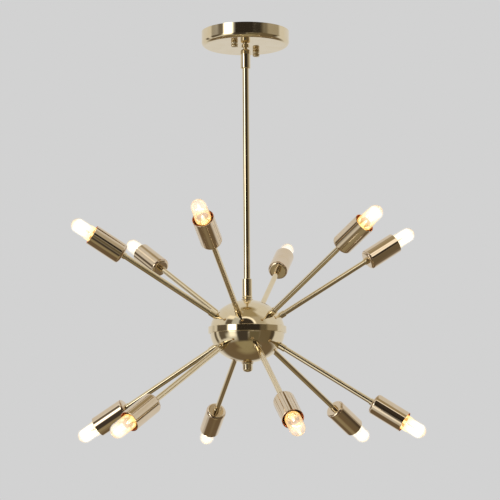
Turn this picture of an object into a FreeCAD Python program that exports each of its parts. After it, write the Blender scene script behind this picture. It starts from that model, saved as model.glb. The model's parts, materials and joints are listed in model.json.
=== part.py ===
import FreeCAD, Part
import math
import os
import Sketcher

# A twelve-light starburst chandelier in polished brass: a round ceiling canopy with a
# hang-straight swivel under it, a thin stem, a flattened hub of two spun shells, and two tiers
# of six straight arms, each with a deep socket cup and a round-ended tubular bulb.
#
# Millimetres, +Z up. The origin is the centre of the mounting plate's top face, which lies in
# the ceiling plane, so the whole object hangs below z = 0.

Vector = FreeCAD.Vector
Rotation = FreeCAD.Rotation
Placement = FreeCAD.Placement
Z_AXIS = Vector(0, 0, 1)

doc = FreeCAD.newDocument("chandelier")

# ---------------------------------------------------------------- driving dimensions

DIMENSIONS = [
    ("canopy_radius", 63.5, "5 inch canopy"),
    ("canopy_depth", 21.0, "ceiling to the canopy's flat underside"),
    ("canopy_wall", 1.0, "spun sheet"),
    ("canopy_corner", 6.0, "outer radius between wall and underside"),
    ("plate_radius", 50.8, "round plate that covers a 4 inch outlet box"),
    ("plate_thick", 1.6, "mounting plate"),
    ("plate_opening", 11.0, "radius of the wire opening in the plate"),
    ("slot_reach", 39.7, "centre of each box-screw slot"),
    ("slot_length", 14.4, "end to end, for boxes drilled at 69.9 to 88.9"),
    ("slot_half_width", 2.4, "clears a number 8 screw"),
    ("stud_reach", 34.925, "canopy studs stand 2.75 inches apart"),
    ("stud_turn", 63.4, "degrees from +X to the line of the studs"),
    ("stud_radius", 2.0, "canopy stud"),
    ("stud_length", 27.0, "canopy stud"),
    ("cap_nut_radius", 5.0, "cap nut under the canopy"),
    ("cap_nut_length", 8.7, "cap nut under the canopy"),
    ("flange_radius", 5.8, "flange of the swivel's nipple"),
    ("flange_thick", 2.5, "flange of the swivel's nipple"),
    ("nipple_radius", 4.3, "threaded nipple through the canopy"),
    ("nipple_length", 16.6, "nipple with its flange"),
    ("lock_nut_thick", 4.0, "hexagon nut inside the canopy"),
    ("neck_length", 3.0, "gap between the flange and the swivel body"),
    ("neck_radius", 3.2, "neck of the swivel's ball stud"),
    ("shaft_radius", 3.0, "shaft of the ball stud, turning in the nipple"),
    ("wire_bore", 1.7, "radius of the lead's bore in the ball stud"),
    ("ball_radius", 5.25, "swivel ball"),
    ("ball_drop", 4.0, "top of the swivel body to the ball's centre"),
    ("ball_cut", 4.6, "ball's centre to its flat lower end"),
    ("pivot_radius", 1.2, "pivot pin in the side of the ball"),
    ("swivel_radius", 7.15, "swivel body"),
    ("swivel_length", 27.4, "swivel body"),
    ("stem_radius", 4.75, "3/8 inch stem"),
    ("stem_bore", 3.8, "inside of the stem"),
    ("stem_length", 330.2, "13 inches, of which 12 inches show"),
    ("stem_grip", 12.0, "stem inside each coupling"),
    ("coupling_radius", 7.0, "coupling above the hub"),
    ("coupling_length", 25.4, "1 inch coupling"),
    ("check_ring_radius", 7.6, "ring between coupling and hub"),
    ("check_ring_length", 4.4, "ring between coupling and hub"),
    ("hub_radius", 53.2, "hub shells at the equator"),
    ("hub_half_height", 45.0, "equator to pole"),
    ("hub_side_round", 40.0, "side arc of the shells' two-arc dome"),
    ("hub_wall", 1.0, "spun sheet"),
    ("hub_hole", 5.0, "radius of the pole holes"),
    ("band_radius", 55.8, "equator band"),
    ("band_above", 6.3, "band's upper edge over the equator"),
    ("band_below", 3.3, "band's lower edge under the equator"),
    ("rod_radius", 4.7, "hollow threaded rod through the hub"),
    ("rod_bore", 3.2, "inside of the rod"),
    ("finial_radius", 7.1, "finial under the hub"),
    ("finial_length", 13.6, "finial under the hub"),
    ("arm_tilt", 32.0, "degrees of each arm above or below level"),
    ("aim_drop", 7.8, "the arms' lines meet the axis this far past the hub's centre"),
    ("arm_radius", 3.95, "5/16 inch tube"),
    ("arm_thread", 3.8, "threaded ends of the arm"),
    ("arm_bore", 3.1, "inside of the arm"),
    ("arm_start", 46.5, "aim point to the arm's inner end"),
    ("collar_start", 55.65, "aim point to the arm's collar, on the shell"),
    ("collar_radius", 5.0, "collar where the arm leaves the hub"),
    ("collar_length", 9.5, "collar where the arm leaves the hub"),
    ("seat_radius", 4.9, "ring that the cup sits on"),
    ("seat_length", 4.7, "ring that the cup sits on"),
    ("tip_length", 7.6, "threaded tip of the arm inside the cup"),
    ("cup_reach", 213.2, "aim point to the cup's base"),
    ("cup_radius", 14.9, "socket cup"),
    ("cup_length", 51.4, "socket cup"),
    ("cup_wall", 0.8, "socket cup"),
    ("cup_corner", 4.5, "outer radius round the cup's base"),
    ("holder_radius", 9.5, "lampholder's insulator"),
    ("holder_length", 42.4, "lampholder's insulator"),
    ("shell_outer", 6.4, "lampholder's screw shell, outside"),
    ("shell_inner", 6.0, "lampholder's screw shell, inside"),
    ("shell_length", 14.5, "lampholder's screw shell"),
    ("base_radius", 5.9, "E12 lamp base"),
    ("bulb_radius", 11.1, "7/8 inch tubular bulb"),
    ("bulb_length", 57.0, "bulb, contact to tip"),
    ("bulb_shows", 34.0, "bulb beyond the cup's mouth"),
    ("glass_wall", 0.8, "bulb's glass"),
    ("lead_radius", 1.1, "one insulated supply lead"),
    ("arm_wire_radius", 1.9, "insulated pair in each arm"),
    ("connector_radius", 5.5, "twist-on wire connector"),
    ("connector_length", 20.0, "twist-on wire connector"),
    ("connector_reach", 11.5, "axis to each wire connector"),
]

sheet = doc.addObject("Spreadsheet::Sheet", "Sizes")
for row, (alias, value, meaning) in enumerate(DIMENSIONS, start=1):
    sheet.set("A%d" % row, alias)
    sheet.set("B%d" % row, str(value))
    sheet.set("C%d" % row, meaning)
    sheet.setAlias("B%d" % row, alias)
doc.recompute()


class Size:
    """A size with its present value and the sheet expression that gives it."""

    def __init__(self, value, text):
        self.value = value
        self.text = text

    def joined(self, other, sign, value):
        right = other.text if isinstance(other, Size) else repr(float(other))
        return Size(value, "(%s %s %s)" % (self.text, sign, right))

    def __add__(self, other):
        return self.joined(other, "+", self.value + number(other))

    def __sub__(self, other):
        return self.joined(other, "-", self.value - number(other))

    def __mul__(self, other):
        return self.joined(other, "*", self.value * number(other))

    def __truediv__(self, other):
        return self.joined(other, "/", self.value / number(other))

    def __neg__(self):
        return Size(-self.value, "(0 - %s)" % self.text)


def number(item):
    return item.value if isinstance(item, Size) else float(item)


def size(alias):
    return Size(float(sheet.get(alias)), "Sizes." + alias)


def fixed(value):
    return Size(float(value), repr(float(value)))


def root(item):
    return Size(math.sqrt(item.value), "sqrt(%s)" % item.text)


def cosine(angle):
    return Size(math.cos(math.radians(angle.value)), "cos(%s * 1 deg)" % angle.text)


def sine(angle):
    return Size(math.sin(math.radians(angle.value)), "sin(%s * 1 deg)" % angle.text)


def leg(hypotenuse, side):
    """The other short side of a right triangle."""
    return root(hypotenuse * hypotenuse - side * side)


# ---------------------------------------------------------------- sketching

nodes = []
ZERO = fixed(0)


def corner(across, up, turn=None, radius=None):
    """One corner of an outline. With a turn, "left" or "right", an arc leaves it."""
    across = across if isinstance(across, Size) else fixed(across)
    up = up if isinstance(up, Size) else fixed(up)
    radius = fixed(radius) if isinstance(radius, (int, float)) else radius
    return {"across": across, "up": up, "turn": turn, "radius": radius}


def new_body(label):
    body = doc.addObject("PartDesign::Body", label)
    body.Label = label
    return body


def new_sketch(body, name, role):
    """A sketch on one of the body's own origin planes."""
    plane = [item for item in body.Origin.OriginFeatures if item.Role == role][0]
    sketch = body.newObject("Sketcher::SketchObject", name)
    sketch.AttachmentSupport = [(plane, "")]
    sketch.MapMode = "FlatFace"
    return sketch


def bind(sketch, kind, geometry, end, target):
    """Ties one coordinate of a point to the sheet; a zero lies on the sketch's axis."""
    if abs(target.value) < 1e-9:
        axis = -2 if kind == "DistanceX" else -1
        sketch.addConstraint(Sketcher.Constraint("PointOnObject", geometry, end, axis))
        return
    rule = Sketcher.Constraint(kind, -1, 1, geometry, end, target.value)
    index = sketch.addConstraint(rule)
    sketch.setExpression("Constraints[%d]" % index, target.text)


def bind_radius(sketch, geometry, radius):
    index = sketch.addConstraint(Sketcher.Constraint("Radius", geometry, radius.value))
    sketch.setExpression("Constraints[%d]" % index, radius.text)


def arc_between(begin, finish, radius, turn):
    """The short arc from begin to finish that bends to the left or to the right."""
    chord = finish - begin
    middle = (begin + finish) * 0.5
    height = math.sqrt(max(radius ** 2 - chord.Length ** 2 / 4, 0))
    side = 1 if turn == "left" else -1
    normal = Vector(-chord.y, chord.x, 0).normalize() * (side * height)
    centre = middle + normal
    first, last = (begin, finish) if turn == "left" else (finish, begin)
    angles = [math.atan2(point.y - centre.y, point.x - centre.x) for point in (first, last)]
    return Part.ArcOfCircle(Part.Circle(centre, Z_AXIS, radius), angles[0], angles[1])


def draw_run(sketch, corners, closed):
    """Lines and arcs through the corners, every corner tied to the sheet."""
    points = [Vector(item["across"].value, item["up"].value, 0) for item in corners]
    total = len(corners) if closed else len(corners) - 1
    base = sketch.GeometryCount
    heads = []
    tails = []
    for place in range(total):
        begin = points[place]
        finish = points[(place + 1) % len(points)]
        bend = corners[place]
        if bend["turn"] is None:
            sketch.addGeometry(Part.LineSegment(begin, finish), False)
        else:
            arc = arc_between(begin, finish, bend["radius"].value, bend["turn"])
            sketch.addGeometry(arc, False)
        reverse = bend["turn"] == "right"
        heads.append(2 if reverse else 1)
        tails.append(1 if reverse else 2)
    for place in range(total):
        if closed or place + 1 < total:
            after = (place + 1) % total
            joint = Sketcher.Constraint(
                "Coincident", base + place, tails[place], base + after, heads[after])
            sketch.addConstraint(joint)
        bind(sketch, "DistanceX", base + place, heads[place], corners[place]["across"])
        bind(sketch, "DistanceY", base + place, heads[place], corners[place]["up"])
        if corners[place]["turn"] is not None:
            bind_radius(sketch, base + place, corners[place]["radius"])
    if not closed:
        bind(sketch, "DistanceX", base + total - 1, tails[-1], corners[-1]["across"])
        bind(sketch, "DistanceY", base + total - 1, tails[-1], corners[-1]["up"])


def draw_circle(sketch, across, up, radius):
    centre = Vector(across.value, up.value, 0)
    index = sketch.addGeometry(Part.Circle(centre, Z_AXIS, radius.value), False)
    bind(sketch, "DistanceX", index, 3, across)
    bind(sketch, "DistanceY", index, 3, up)
    bind_radius(sketch, index, radius)


# ---------------------------------------------------------------- features

def turned(label, corners, angle=360):
    """A body turned about its own +Z from an outline of (radius, height) corners."""
    body = new_body(label)
    sketch = new_sketch(body, label + "_outline", "XZ_Plane")
    draw_run(sketch, corners, True)
    solid = body.newObject("PartDesign::Revolution", label + "_turn")
    solid.Profile = sketch
    solid.ReferenceAxis = (sketch, ["V_Axis"])
    solid.Angle = angle
    body.Tip = solid
    return body


def cut_through(body, sketch, name, both_ways=False):
    """A pocket right through, along the sketch's normal, that must remove metal."""
    doc.recompute()
    before = body.Shape.Volume
    pocket = body.newObject("PartDesign::Pocket", name)
    pocket.Profile = sketch
    pocket.Type = "ThroughAll"
    pocket.Midplane = both_ways
    pocket.Reversed = not both_ways
    body.Tip = pocket
    doc.recompute()
    if body.Shape.Volume > before - 0.1:
        raise ValueError(name + " cuts nothing")
    return pocket


def repeat_half_turn(body, features, name):
    """Repeats pockets on the other side of the body's axis."""
    pattern = body.newObject("PartDesign::PolarPattern", name)
    pattern.Originals = features
    z_line = [item for item in body.Origin.OriginFeatures if item.Role == "Z_Axis"][0]
    pattern.Axis = (z_line, [""])
    pattern.Angle = 360
    pattern.Occurrences = 2
    body.Tip = pattern
    doc.recompute()


def cylinder(name, radius, length):
    solid = doc.addObject("Part::Cylinder", name)
    solid.setExpression("Radius", radius.text)
    solid.setExpression("Height", length.text)
    return solid


def hexagon_nut(name, flats, bore, thickness):
    prism = doc.addObject("Part::Prism", name + "_hexagon")
    prism.Polygon = 6
    prism.setExpression("Circumradius", (flats / (cosine(fixed(30)) * 2)).text)
    prism.setExpression("Height", thickness.text)
    hole = cylinder(name + "_bore", bore, thickness)
    nut = doc.addObject("Part::Cut", name)
    nut.Base = prism
    nut.Tool = hole
    return nut


def keep(item, placement=None):
    """Marks an object as one of the parts that are written out."""
    if placement is not None:
        item.Placement = placement
    nodes.append(item)
    return item


def group(label, pieces):
    """One node of identical pieces: (piece, placement) pairs, each a separate solid."""
    links = []
    for count, (piece, placement) in enumerate(pieces, start=1):
        link = doc.addObject("App::Link", "%s_%02d" % (label, count))
        link.LinkedObject = piece
        link.Placement = placement
        links.append(link)
    compound = doc.addObject("Part::Compound", label)
    compound.Label = label
    compound.Links = links
    return keep(compound)


def at_height(height, turn_degrees=0):
    return Placement(Vector(0, 0, number(height)), Rotation(Z_AXIS, turn_degrees))


# ---------------------------------------------------------------- heights down the axis

underside = -size("canopy_depth")
flange_bottom = underside - size("flange_thick")
swivel_top = flange_bottom - size("neck_length")
ball_height = swivel_top - size("ball_drop")
swivel_bottom = swivel_top - size("swivel_length")
stem_bottom = swivel_bottom + size("stem_grip") - size("stem_length")
coupling_bottom = stem_bottom + size("stem_grip") - size("coupling_length")
hub_height = coupling_bottom - size("check_ring_length") - size("hub_half_height")

TIER_ARMS = 6
UPPER_FIRST = 15
LOWER_FIRST = 45
TURN = 360 / TIER_ARMS


def arm_placements(reach, spin=0):
    """Placements along the twelve arms, +Z outward, at a distance from the aim point."""
    places = []
    tilt = size("arm_tilt").value
    for rise, first in ((1, UPPER_FIRST), (-1, LOWER_FIRST)):
        aim = Vector(0, 0, hub_height.value - rise * size("aim_drop").value)
        for count in range(TIER_ARMS):
            turn = Rotation(Z_AXIS, first + count * TURN)
            lean = Rotation(Vector(0, 1, 0), 90 - rise * tilt)
            rotation = turn.multiply(lean)
            base = aim + rotation.multVec(Vector(0, 0, number(reach)))
            places.append(Placement(base, rotation.multiply(Rotation(Z_AXIS, spin))))
    return places


def opposite(radius, height, turn_degrees):
    """Two placements on opposite sides of the axis."""
    places = []
    for angle in (turn_degrees, turn_degrees + 180):
        outward = Rotation(Z_AXIS, angle)
        base = outward.multVec(Vector(number(radius), 0, 0)) + Vector(0, 0, number(height))
        places.append(Placement(base, outward))
    return places


# ---------------------------------------------------------------- canopy and its hardware

STUD_CLEARANCE = 0.05
CANOPY_HOLE_CLEARANCE = 0.3


def make_canopy():
    """A spun dish, open to the ceiling, with a rounded edge and three holes in its face."""
    outer = size("canopy_radius")
    wall = size("canopy_wall")
    bend = size("canopy_corner")
    depth = size("canopy_depth")
    hole = size("nipple_radius") + 0.1
    body = turned("ceiling_canopy", [
        corner(hole, 0),
        corner(outer - bend, 0, "left", bend),
        corner(outer, bend),
        corner(outer, depth),
        corner(outer - wall, depth),
        corner(outer - wall, bend, "right", bend - wall),
        corner(outer - bend, wall),
        corner(hole, wall),
    ])
    sketch = new_sketch(body, "canopy_stud_hole", "XY_Plane")
    draw_circle(sketch, size("stud_reach"), ZERO, size("stud_radius") + CANOPY_HOLE_CLEARANCE)
    pocket = cut_through(body, sketch, "canopy_stud_pocket")
    repeat_half_turn(body, [pocket], "canopy_stud_pair")
    keep(body, at_height(underside, size("stud_turn").value))


def make_mounting_plate():
    """A round plate for the outlet box: two slots along X, two tapped stud holes."""
    body = new_body("mounting_plate")
    disc = new_sketch(body, "plate_disc", "XY_Plane")
    draw_circle(disc, ZERO, ZERO, size("plate_radius"))
    draw_circle(disc, ZERO, ZERO, size("plate_opening"))
    pad = body.newObject("PartDesign::Pad", "plate_pad")
    pad.Profile = disc
    pad.setExpression("Length", size("plate_thick").text)
    body.Tip = pad

    half = size("slot_half_width")
    near = size("slot_reach") - size("slot_length") / 2
    far = size("slot_reach") + size("slot_length") / 2
    slot = new_sketch(body, "plate_slot", "XY_Plane")
    draw_run(slot, [
        corner(near + half, -half),
        corner(far - half, -half, "left", half),
        corner(far, 0, "left", half),
        corner(far - half, half),
        corner(near + half, half, "left", half),
        corner(near, 0, "left", half),
    ], True)
    slot_cut = cut_through(body, slot, "plate_slot_pocket")

    turn = size("stud_turn")
    reach = size("stud_reach")
    tapped = new_sketch(body, "plate_stud_hole", "XY_Plane")
    draw_circle(tapped, reach * cosine(turn), reach * sine(turn),
                size("stud_radius") + STUD_CLEARANCE)
    tapped_cut = cut_through(body, tapped, "plate_stud_pocket")
    repeat_half_turn(body, [slot_cut, tapped_cut], "plate_pairs")
    keep(body, at_height(-size("plate_thick")))


def make_canopy_hardware():
    """Two studs down from the plate, and a cap nut on each that carries the canopy."""
    radius = size("stud_radius")
    length = size("stud_length")
    bevel = 0.4
    stud = turned("canopy_stud", [
        corner(0, 0),
        corner(radius - bevel, 0),
        corner(radius, bevel),
        corner(radius, length - bevel),
        corner(radius - bevel, length),
        corner(0, length),
    ])
    top_gap = 0.2
    places = opposite(size("stud_reach"), -length - top_gap, size("stud_turn").value)
    group("canopy_studs", [(stud, place) for place in places])

    outer = size("cap_nut_radius")
    tall = size("cap_nut_length")
    crown = 0.8
    crown_round = (outer * outer + crown ** 2) / (2 * crown)
    bore = radius + STUD_CLEARANCE
    roof = 2.0
    nut = turned("canopy_cap_nut", [
        corner(0, 0, "left", crown_round),
        corner(outer, crown),
        corner(outer, tall - bevel),
        corner(outer - bevel, tall),
        corner(bore, tall),
        corner(bore, roof),
        corner(0, roof),
    ])
    places = opposite(size("stud_reach"), underside - tall, size("stud_turn").value)
    group("canopy_cap_nuts", [(nut, place) for place in places])


# ---------------------------------------------------------------- hang-straight swivel

RUNNING = 0.05
RING_GROOVE_DEPTH = 0.4
RING_THICK = 0.9
RING_RADIUS = 4.9


def make_swivel_mount():
    """The flanged nipple through the canopy's centre hole and the nut that holds it."""
    bore = size("shaft_radius") + RUNNING
    thread = size("nipple_radius")
    flange = size("flange_radius")
    thick = size("flange_thick")
    tall = size("nipple_length")
    edge = 0.5
    nipple = turned("swivel_nipple", [
        corner(bore, 0),
        corner(flange - edge, 0),
        corner(flange, edge),
        corner(flange, thick),
        corner(thread, thick),
        corner(thread, tall),
        corner(bore, tall),
    ])
    keep(nipple, at_height(flange_bottom))
    nut = hexagon_nut("canopy_lock_nut", fixed(13), thread + RUNNING, size("lock_nut_thick"))
    keep(nut, at_height(underside + size("canopy_wall")))


def make_ball_stud():
    """A hollow stud that turns in the nipple and ends in the swivel's ball."""
    ball = size("ball_radius")
    cut = size("ball_cut")
    neck = size("neck_radius")
    shaft = size("shaft_radius")
    bore = size("wire_bore")
    foot = ball_height - cut
    shoulder = flange_bottom - 0.2 - foot
    ring_seat = flange_bottom + size("nipple_length") + 0.1 - foot
    groove = shaft - RING_GROOVE_DEPTH
    groove_top = ring_seat + RING_THICK + 0.1
    body = turned("swivel_ball_stud", [
        corner(bore, 0),
        corner(leg(ball, cut), 0, "left", ball),
        corner(neck, cut + leg(ball, neck)),
        corner(neck, shoulder),
        corner(shaft, shoulder),
        corner(shaft, ring_seat),
        corner(groove, ring_seat),
        corner(groove, groove_top),
        corner(shaft, groove_top),
        corner(shaft, groove_top + 1.2),
        corner(bore, groove_top + 1.2),
    ])
    sketch = new_sketch(body, "ball_pivot_bore", "XZ_Plane")
    draw_circle(sketch, ZERO, cut, size("pivot_radius") + RUNNING)
    cut_through(body, sketch, "ball_pivot_pocket", both_ways=True)
    keep(body, at_height(foot))

    split = 325
    ring = turned("stud_retaining_ring", [
        corner(groove + RUNNING, 0),
        corner(RING_RADIUS, 0),
        corner(RING_RADIUS, RING_THICK),
        corner(groove + RUNNING, RING_THICK),
    ], split)
    keep(ring, at_height(foot + ring_seat))


def make_swivel_body():
    """The sleeve that hangs on the ball: a seat above, the stem's thread below."""
    outer = size("swivel_radius")
    tall = size("swivel_length")
    ball = size("ball_radius")
    seat = ball + 0.08
    centre = tall - size("ball_drop")
    mouth = fixed(4.7)
    throat = centre + leg(seat, mouth)
    rim = 5.6
    cavity = ball + 0.35
    thread = size("stem_radius") + RUNNING
    edge = 0.5
    shoulder_drop = 1.8
    top_edge = 6.0
    body = turned("swivel_body", [
        corner(thread, 0),
        corner(outer - edge, 0),
        corner(outer, edge),
        corner(outer, tall - shoulder_drop),
        corner(top_edge, tall),
        corner(rim, tall),
        corner(mouth, throat, "right", seat),
        corner(seat, centre),
        corner(cavity, centre - 0.3),
        corner(cavity, size("stem_grip") + 2.0),
        corner(thread, size("stem_grip")),
    ])
    sketch = new_sketch(body, "swivel_pivot_bore", "XZ_Plane")
    draw_circle(sketch, ZERO, centre, size("pivot_radius") + RUNNING)
    cut_through(body, sketch, "swivel_pivot_pocket", both_ways=True)
    keep(body, at_height(swivel_bottom))

    inner_end = 2.4
    pin = cylinder("pivot_pin", size("pivot_radius"), outer - inner_end - 0.1)
    pins = []
    for side in (1, -1):
        base = Vector(0, side * inner_end, ball_height.value)
        pins.append((pin, Placement(base, Rotation(Vector(1, 0, 0), -90 * side))))
    group("swivel_pivot_pins", pins)


# ---------------------------------------------------------------- stem and hub centre

def make_stem():
    """The long tube between the swivel body and the coupling."""
    tube = turned("stem_tube", [
        corner(size("stem_bore"), 0),
        corner(size("stem_radius"), 0),
        corner(size("stem_radius"), size("stem_length")),
        corner(size("stem_bore"), size("stem_length")),
    ])
    keep(tube, at_height(stem_bottom))


def make_coupling():
    """The sleeve that joins the stem to the hub's rod, and the ring it bears on."""
    outer = size("coupling_radius")
    tall = size("coupling_length")
    thread = size("stem_radius") + RUNNING
    edge = 0.6
    sleeve = turned("lower_coupling", [
        corner(thread, 0),
        corner(outer - edge, 0),
        corner(outer, edge),
        corner(outer, tall - edge),
        corner(outer - edge, tall),
        corner(thread, tall),
    ])
    keep(sleeve, at_height(coupling_bottom))

    rim = size("check_ring_radius")
    neck = size("coupling_radius") - 0.9
    thick = size("check_ring_length") - 0.15
    flare = 2.4
    hole = size("rod_radius") + 0.15
    ring = turned("hub_check_ring", [
        corner(hole, 0),
        corner(rim, 0),
        corner(rim, thick - flare),
        corner(neck, thick),
        corner(hole, thick),
    ])
    keep(ring, at_height(coupling_bottom - thick))


def make_rod():
    """The hollow rod that ties coupling, shells and finial together, slotted for leads."""
    outer = size("rod_radius")
    inner = size("rod_bore")
    top = coupling_bottom + size("stem_grip")
    bottom = hub_height - size("hub_half_height") - 9.0
    body = turned("center_rod", [
        corner(inner, 0),
        corner(outer, 0),
        corner(outer, top - bottom),
        corner(inner, top - bottom),
    ])
    slot_low = hub_height + 14.5 - bottom
    slot_high = hub_height + 25.5 - bottom
    half = 1.5
    slot = new_sketch(body, "rod_slot", "YZ_Plane")
    draw_run(slot, [
        corner(-half, slot_low),
        corner(half, slot_low),
        corner(half, slot_high),
        corner(-half, slot_high),
    ], True)
    cut_through(body, slot, "rod_slot_pocket", both_ways=True)
    keep(body, at_height(bottom))


def make_finial():
    """A short turned knob with a domed end that screws up onto the rod."""
    wide = size("finial_radius")
    shank = wide - 0.5
    tall = size("finial_length")
    thread = size("rod_radius") + RUNNING
    crown = 1.6
    crown_round = (wide * wide + crown ** 2) / (2 * crown)
    lip = 3.2
    blind = 3.4
    body = turned("finial", [
        corner(0, 0, "left", crown_round),
        corner(wide, crown),
        corner(wide, lip),
        corner(shank, lip + 0.5),
        corner(shank, tall - 0.5),
        corner(shank - 0.5, tall),
        corner(thread, tall),
        corner(thread, blind),
        corner(0, blind),
    ])
    top = hub_height - size("hub_half_height") + 0.15
    keep(body, at_height(top - tall))


# ---------------------------------------------------------------- hub shells and band

LIP_HALF = 0.45


def crown_radius(side, across, height):
    """Radius of the crown arc that meets the side arc without a corner."""
    offset = across - side
    return (offset * offset + height * height - side * side) / ((height - side) * 2)


def make_shell(label, placement):
    """One spun half of the hub: a two-arc dome with six arm holes and a pole hole."""
    side = size("hub_side_round")
    across = size("hub_radius")
    rise = size("hub_half_height") - LIP_HALF
    wall = size("hub_wall")
    crown = crown_radius(side, across, rise)
    gap = crown - side
    middle = across - side
    drop = rise - crown
    hole = size("hub_hole")
    ratio_out = middle / gap
    ratio_up = -drop / gap
    inner_crown = crown - wall
    inner_side = side - wall
    dome = turned(label + "_dome", [
        corner(across, 0, "left", side),
        corner(ratio_out * crown, drop + ratio_up * crown, "left", crown),
        corner(hole, drop + leg(crown, hole)),
        corner(hole, drop + leg(inner_crown, hole), "right", inner_crown),
        corner(ratio_out * inner_crown, drop + ratio_up * inner_crown, "right", inner_side),
        corner(across - wall, 0),
    ])
    drills = []
    tilt = size("arm_tilt").value
    aim = Vector(0, 0, -size("aim_drop").value - LIP_HALF)
    for count in range(TIER_ARMS):
        turn = Rotation(Z_AXIS, UPPER_FIRST + count * TURN)
        rotation = turn.multiply(Rotation(Vector(0, 1, 0), 90 - tilt))
        drill = cylinder("%s_drill_%d" % (label, count + 1), size("arm_thread") + 0.1,
                         size("collar_start") / 2)
        reach = size("collar_start").value * 0.7
        drill.Placement = Placement(aim + rotation.multVec(Vector(0, 0, reach)), rotation)
        drills.append(drill)
    tools = doc.addObject("Part::Compound", label + "_drills")
    tools.Links = drills
    shell = doc.addObject("Part::Cut", label)
    shell.Label = label
    shell.Base = dome
    shell.Tool = tools
    keep(shell, placement)


def make_shells():
    upper = at_height(hub_height + LIP_HALF)
    flip = Rotation(Vector(1, 0, 0), 180)
    lower = Placement(Vector(0, 0, hub_height.value - LIP_HALF), flip)
    make_shell("upper_shell", upper)
    make_shell("lower_shell", lower)


def make_band():
    """The polished band round the equator; its inner lip parts the two shells."""
    outer = size("band_radius")
    inner = size("hub_radius") + 0.15
    below = size("band_below")
    tall = below + size("band_above")
    lip_low = below - LIP_HALF + 0.05
    lip_high = below + LIP_HALF - 0.05
    lip_reach = inner - 2.4
    edge = 0.7
    band = turned("equator_band", [
        corner(inner, 0),
        corner(outer - edge, 0, "left", edge),
        corner(outer, edge),
        corner(outer, tall - edge, "left", edge),
        corner(outer - edge, tall),
        corner(inner, tall),
        corner(inner, lip_high),
        corner(lip_reach, lip_high),
        corner(lip_reach, lip_low),
        corner(inner, lip_low),
    ])
    keep(band, at_height(hub_height - below))


# ---------------------------------------------------------------- arms, cups and lampholders

def make_arm(label, placement):
    """One arm: a tube with a collar for the hub, a seat ring for the cup, threaded ends."""
    bore = size("arm_bore")
    thread = size("arm_thread")
    tube = size("arm_radius")
    collar = size("collar_radius")
    seat = size("seat_radius")
    start = size("arm_start")
    collar_low = size("collar_start") - start
    collar_high = collar_low + size("collar_length")
    seat_high = size("cup_reach") - start - 0.1
    seat_low = seat_high - size("seat_length")
    tip = seat_high + size("tip_length")
    edge = 0.4
    arm = turned(label, [
        corner(bore, 0),
        corner(thread, 0),
        corner(thread, collar_low),
        corner(collar, collar_low),
        corner(collar, collar_high - edge),
        corner(collar - edge, collar_high),
        corner(tube, collar_high),
        corner(tube, seat_low),
        corner(seat - edge, seat_low),
        corner(seat, seat_low + edge),
        corner(seat, seat_high),
        corner(thread, seat_high),
        corner(thread, tip),
        corner(bore, tip),
    ])
    keep(arm, placement)


def make_socket_cup(label, placement):
    """A deep spun cup with a rounded base; the arm's threaded tip passes its base hole."""
    outer = size("cup_radius")
    wall = size("cup_wall")
    bend = size("cup_corner")
    tall = size("cup_length")
    hole = size("arm_thread") + 0.1
    floor = wall + 0.2
    lip = 0.25
    cup = turned(label, [
        corner(hole, 0),
        corner(outer - bend, 0, "left", bend),
        corner(outer, bend),
        corner(outer, tall - lip),
        corner(outer - lip, tall),
        corner(outer - wall, tall),
        corner(outer - wall, bend + 0.2, "right", bend - wall),
        corner(outer - bend, floor),
        corner(hole, floor),
    ])
    keep(cup, placement)


def make_bulb(label, placement):
    """A tubular bulb: screw base, flared shoulder, straight glass and a round end."""
    glass = size("bulb_radius")
    wall = size("glass_wall")
    tall = size("bulb_length")
    base = size("base_radius")
    inside = glass - wall
    vent = 0.5
    tip_radius = 2.6
    tip_height = 2.0
    base_low = 4.0
    base_high = 15.6
    shoulder = 22.0
    flare = 7.4
    bulb = turned(label, [
        corner(vent, 0),
        corner(tip_radius, 0),
        corner(tip_radius, tip_height),
        corner(base - 0.9, base_low - 0.8),
        corner(base, base_low),
        corner(base, base_high),
        corner(base + 0.7, base_high + 0.4, "left", flare),
        corner(glass, shoulder),
        corner(glass, tall - glass, "left", glass),
        corner(vent, tall - glass + leg(glass, fixed(vent))),
        corner(vent, tall - glass + leg(inside, fixed(vent)), "right", inside),
        corner(inside, tall - glass),
        corner(inside, shoulder + 0.2, "right", fixed(flare) - wall),
        corner(base - 0.1, base_high + 1.2),
        corner(vent, base_high + 1.2),
    ])
    keep(bulb, placement)


def make_lights():
    mouth = size("cup_reach") + size("cup_length")
    bulb_start = mouth + size("bulb_shows") - size("bulb_length")
    arms = arm_placements(size("arm_start"))
    cups = arm_placements(size("cup_reach"))
    bulbs = arm_placements(bulb_start)
    for count in range(2 * TIER_ARMS):
        make_arm("arm_%02d" % (count + 1), arms[count])
        make_socket_cup("socket_cup_%02d" % (count + 1), cups[count])
        make_bulb("bulb_%02d" % (count + 1), bulbs[count])
    return bulb_start


def make_arm_lock_nuts():
    """A hexagon nut inside the shell on each arm's inner thread."""
    thick = fixed(3)
    nut = hexagon_nut("arm_lock_nut", fixed(12), size("arm_thread") + RUNNING, thick)
    inner_face = size("collar_start") - size("hub_wall") - 0.8
    group("arm_lock_nuts", [(nut, place) for place in arm_placements(inner_face - thick)])


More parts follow.
